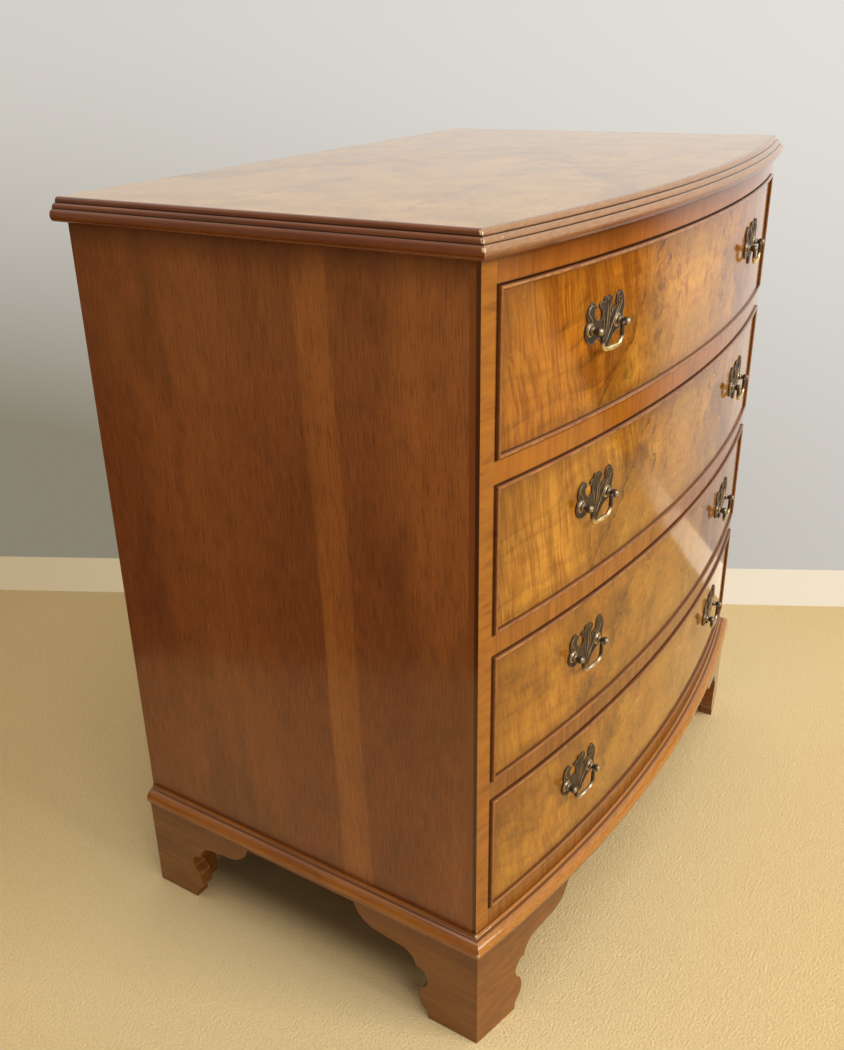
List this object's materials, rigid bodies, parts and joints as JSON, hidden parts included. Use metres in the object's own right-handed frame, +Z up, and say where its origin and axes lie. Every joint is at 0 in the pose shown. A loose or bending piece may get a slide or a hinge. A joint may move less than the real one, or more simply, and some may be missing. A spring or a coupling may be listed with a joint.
{
  "type": "bow front chest of drawers",
  "caption": "Bow front chest with stacked cockbeaded drawers, moulded top, base moulding, bracket feet and swinging brass drop handles.",
  "frame": {"origin": "on the floor, in the middle of the width and of the depth", "axes": "+Z up, the front faces -Y, +X to the right seen from the front"},
  "size_m": [0.7834, 0.5228, 0.84],
  "materials": {
    "walnut_veneer": "french polished figured walnut veneer",
    "side_veneer": "polished straight grained walnut veneer",
    "walnut": "polished walnut",
    "inner_wood": "bare oak",
    "brass": "dark antique brass, worn bright on the bails"
  },
  "bodies": {
    "carcass": {"top_panel": "walnut_veneer", "top_moulding": "walnut", "side_left": "side_veneer", "side_right": "side_veneer", "stile_left": "walnut", "stile_right": "walnut", "back_panel": "inner_wood", "bottom_board": "inner_wood", "bottom_rail": "walnut", "drawer_rail_1": "walnut", "drawer_rail_2": "walnut", "drawer_rail_3": "walnut", "top_rail": "walnut", "base_moulding": "walnut", "drawer_runners": "inner_wood", "drawer_stops": "inner_wood", "foot_front_left": "walnut", "foot_front_right": "walnut", "foot_rear_left": "walnut", "foot_rear_right": "walnut"},
    "drawer_1": {"drawer_1_front": "walnut_veneer", "drawer_1_cockbead": "walnut", "drawer_1_side_left": "inner_wood", "drawer_1_side_right": "inner_wood", "drawer_1_back": "inner_wood", "drawer_1_bottom": "inner_wood", "drawer_1_handle_plates": "brass", "drawer_1_handle_posts": "brass"},
    "bail_1_left": {"drawer_1_bail_left": "brass"},
    "bail_1_right": {"drawer_1_bail_right": "brass"},
    "drawer_2": {"drawer_2_front": "walnut_veneer", "drawer_2_cockbead": "walnut", "drawer_2_side_left": "inner_wood", "drawer_2_side_right": "inner_wood", "drawer_2_back": "inner_wood", "drawer_2_bottom": "inner_wood", "drawer_2_handle_plates": "brass", "drawer_2_handle_posts": "brass"},
    "bail_2_left": {"drawer_2_bail_left": "brass"},
    "bail_2_right": {"drawer_2_bail_right": "brass"},
    "drawer_3": {"drawer_3_front": "walnut_veneer", "drawer_3_cockbead": "walnut", "drawer_3_side_left": "inner_wood", "drawer_3_side_right": "inner_wood", "drawer_3_back": "inner_wood", "drawer_3_bottom": "inner_wood", "drawer_3_handle_plates": "brass", "drawer_3_handle_posts": "brass"},
    "bail_3_left": {"drawer_3_bail_left": "brass"},
    "bail_3_right": {"drawer_3_bail_right": "brass"},
    "drawer_4": {"drawer_4_front": "walnut_veneer", "drawer_4_cockbead": "walnut", "drawer_4_side_left": "inner_wood", "drawer_4_side_right": "inner_wood", "drawer_4_back": "inner_wood", "drawer_4_bottom": "inner_wood", "drawer_4_handle_plates": "brass", "drawer_4_handle_posts": "brass"},
    "bail_4_left": {"drawer_4_bail_left": "brass"},
    "bail_4_right": {"drawer_4_bail_right": "brass"}
  },
  "joints": [
    {"name": "drawer_1_slide", "type": "slide", "parent": "carcass", "child": "drawer_1", "axis": [0, -1, 0], "range_m": [0, 0.33]},
    {"name": "bail_1_left_swing", "type": "hinge", "parent": "drawer_1", "child": "bail_1_left", "pos_m": [-0.21119, -0.24566, 0.24445], "axis": [-0.9929, 0.1188, 0], "range_deg": [-15, 100]},
    {"name": "bail_1_right_swing", "type": "hinge", "parent": "drawer_1", "child": "bail_1_right", "pos_m": [0.21119, -0.24566, 0.24445], "axis": [-0.9929, -0.1188, 0], "range_deg": [-15, 100]},
    {"name": "drawer_2_slide", "type": "slide", "parent": "carcass", "child": "drawer_2", "axis": [0, -1, 0], "range_m": [0, 0.33]},
    {"name": "bail_2_left_swing", "type": "hinge", "parent": "drawer_2", "child": "bail_2_left", "pos_m": [-0.21119, -0.24566, 0.4044], "axis": [-0.9929, 0.1188, 0], "range_deg": [-15, 100]},
    {"name": "bail_2_right_swing", "type": "hinge", "parent": "drawer_2", "child": "bail_2_right", "pos_m": [0.21119, -0.24566, 0.4044], "axis": [-0.9929, -0.1188, 0], "range_deg": [-15, 100]},
    {"name": "drawer_3_slide", "type": "slide", "parent": "carcass", "child": "drawer_3", "axis": [0, -1, 0], "range_m": [0, 0.33]},
    {"name": "bail_3_left_swing", "type": "hinge", "parent": "drawer_3", "child": "bail_3_left", "pos_m": [-0.21119, -0.24566, 0.5681], "axis": [-0.9929, 0.1188, 0], "range_deg": [-15, 100]},
    {"name": "bail_3_right_swing", "type": "hinge", "parent": "drawer_3", "child": "bail_3_right", "pos_m": [0.21119, -0.24566, 0.5681], "axis": [-0.9929, -0.1188, 0], "range_deg": [-15, 100]},
    {"name": "drawer_4_slide", "type": "slide", "parent": "carcass", "child": "drawer_4", "axis": [0, -1, 0], "range_m": [0, 0.33]},
    {"name": "bail_4_left_swing", "type": "hinge", "parent": "drawer_4", "child": "bail_4_left", "pos_m": [-0.21119, -0.24566, 0.7343], "axis": [-0.9929, 0.1188, 0], "range_deg": [-15, 100]},
    {"name": "bail_4_right_swing", "type": "hinge", "parent": "drawer_4", "child": "bail_4_right", "pos_m": [0.21119, -0.24566, 0.7343], "axis": [-0.9929, -0.1188, 0], "range_deg": [-15, 100]}
  ]
}
